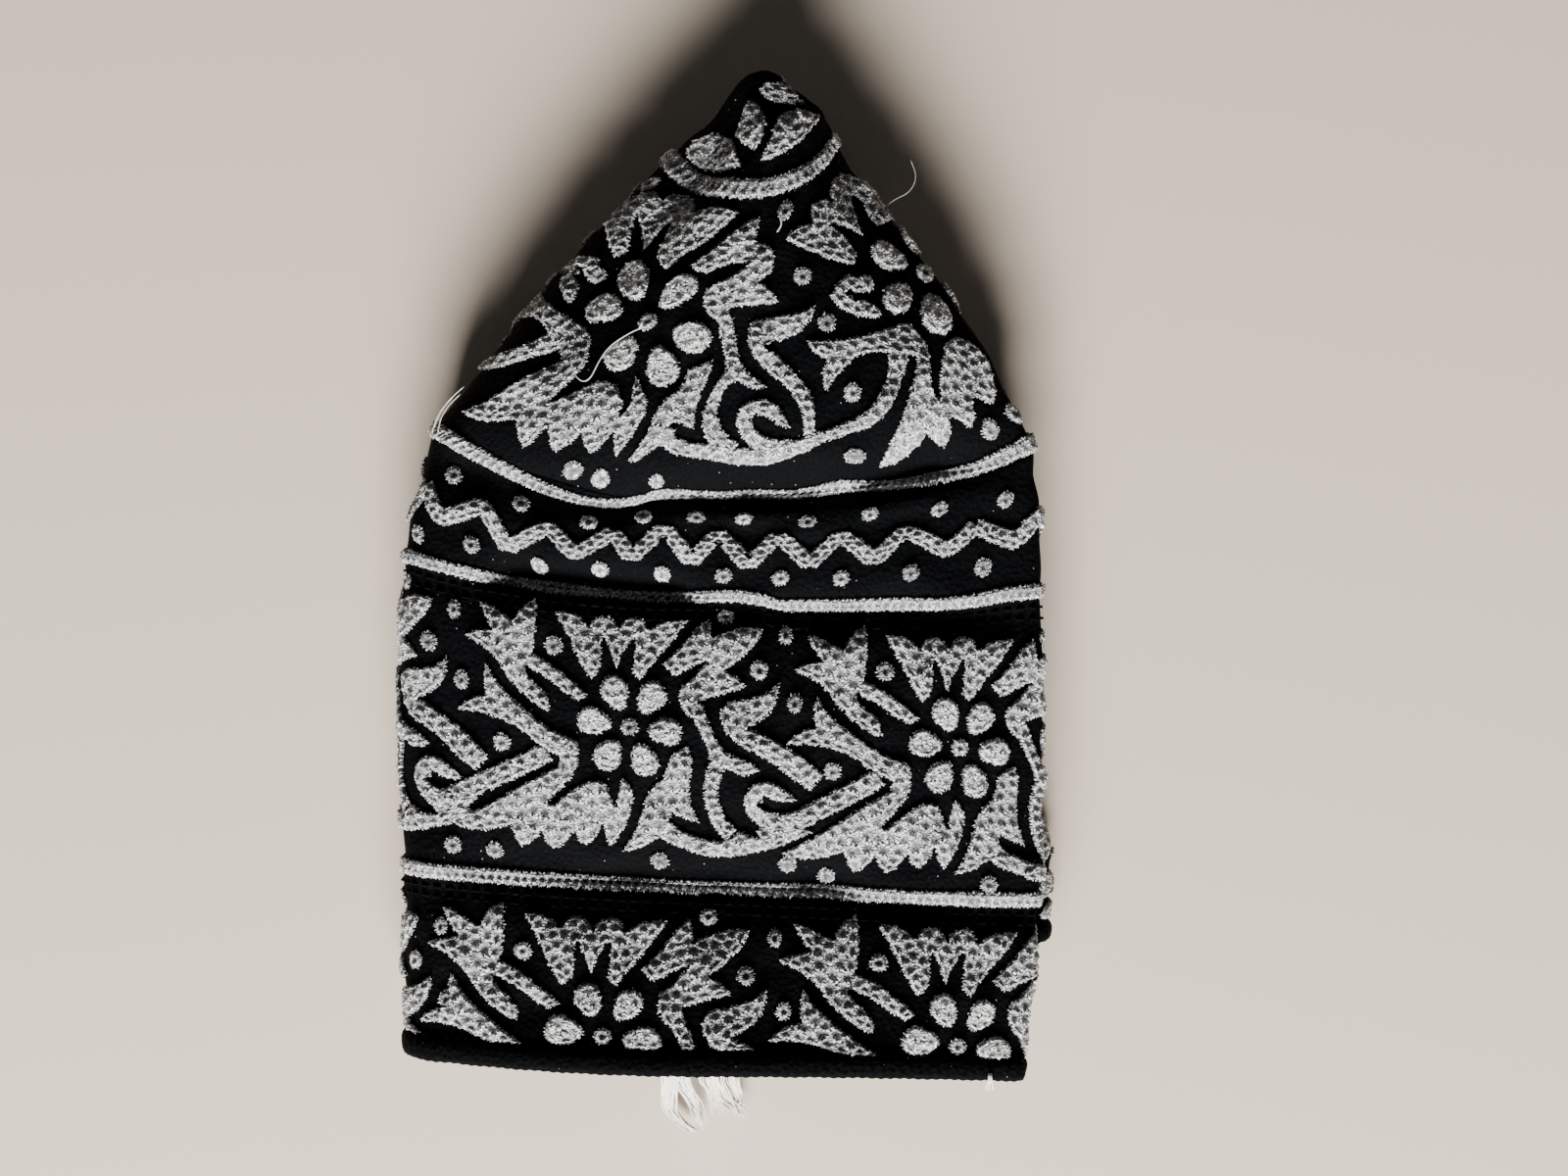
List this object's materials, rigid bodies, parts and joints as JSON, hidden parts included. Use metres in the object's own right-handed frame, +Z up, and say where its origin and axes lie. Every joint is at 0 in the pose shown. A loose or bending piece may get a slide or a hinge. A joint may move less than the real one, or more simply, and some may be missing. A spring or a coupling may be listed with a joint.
{
  "type": "kuma cap",
  "caption": "Round-topped kuma cap of black cloth covered in raised silver-grey embroidery, with a bound hem, folded flat into quarters and lying on its side.",
  "frame": {"origin": "middle of the folded cap's box, on the surface that it lies on", "axes": "+Z up from the surface; +Y from the open hem towards the crown's folded tip; +X to the right as the shown face is seen from above"},
  "size_m": [0.1464, 0.219, 0.0362],
  "materials": {
    "embroidered_cloth": "matte",
    "black_cloth": "matte"
  },
  "bodies": {
    "root": {"side_band": "embroidered_cloth", "crown": "embroidered_cloth", "hem_binding": "black_cloth"}
  },
  "joints": []
}
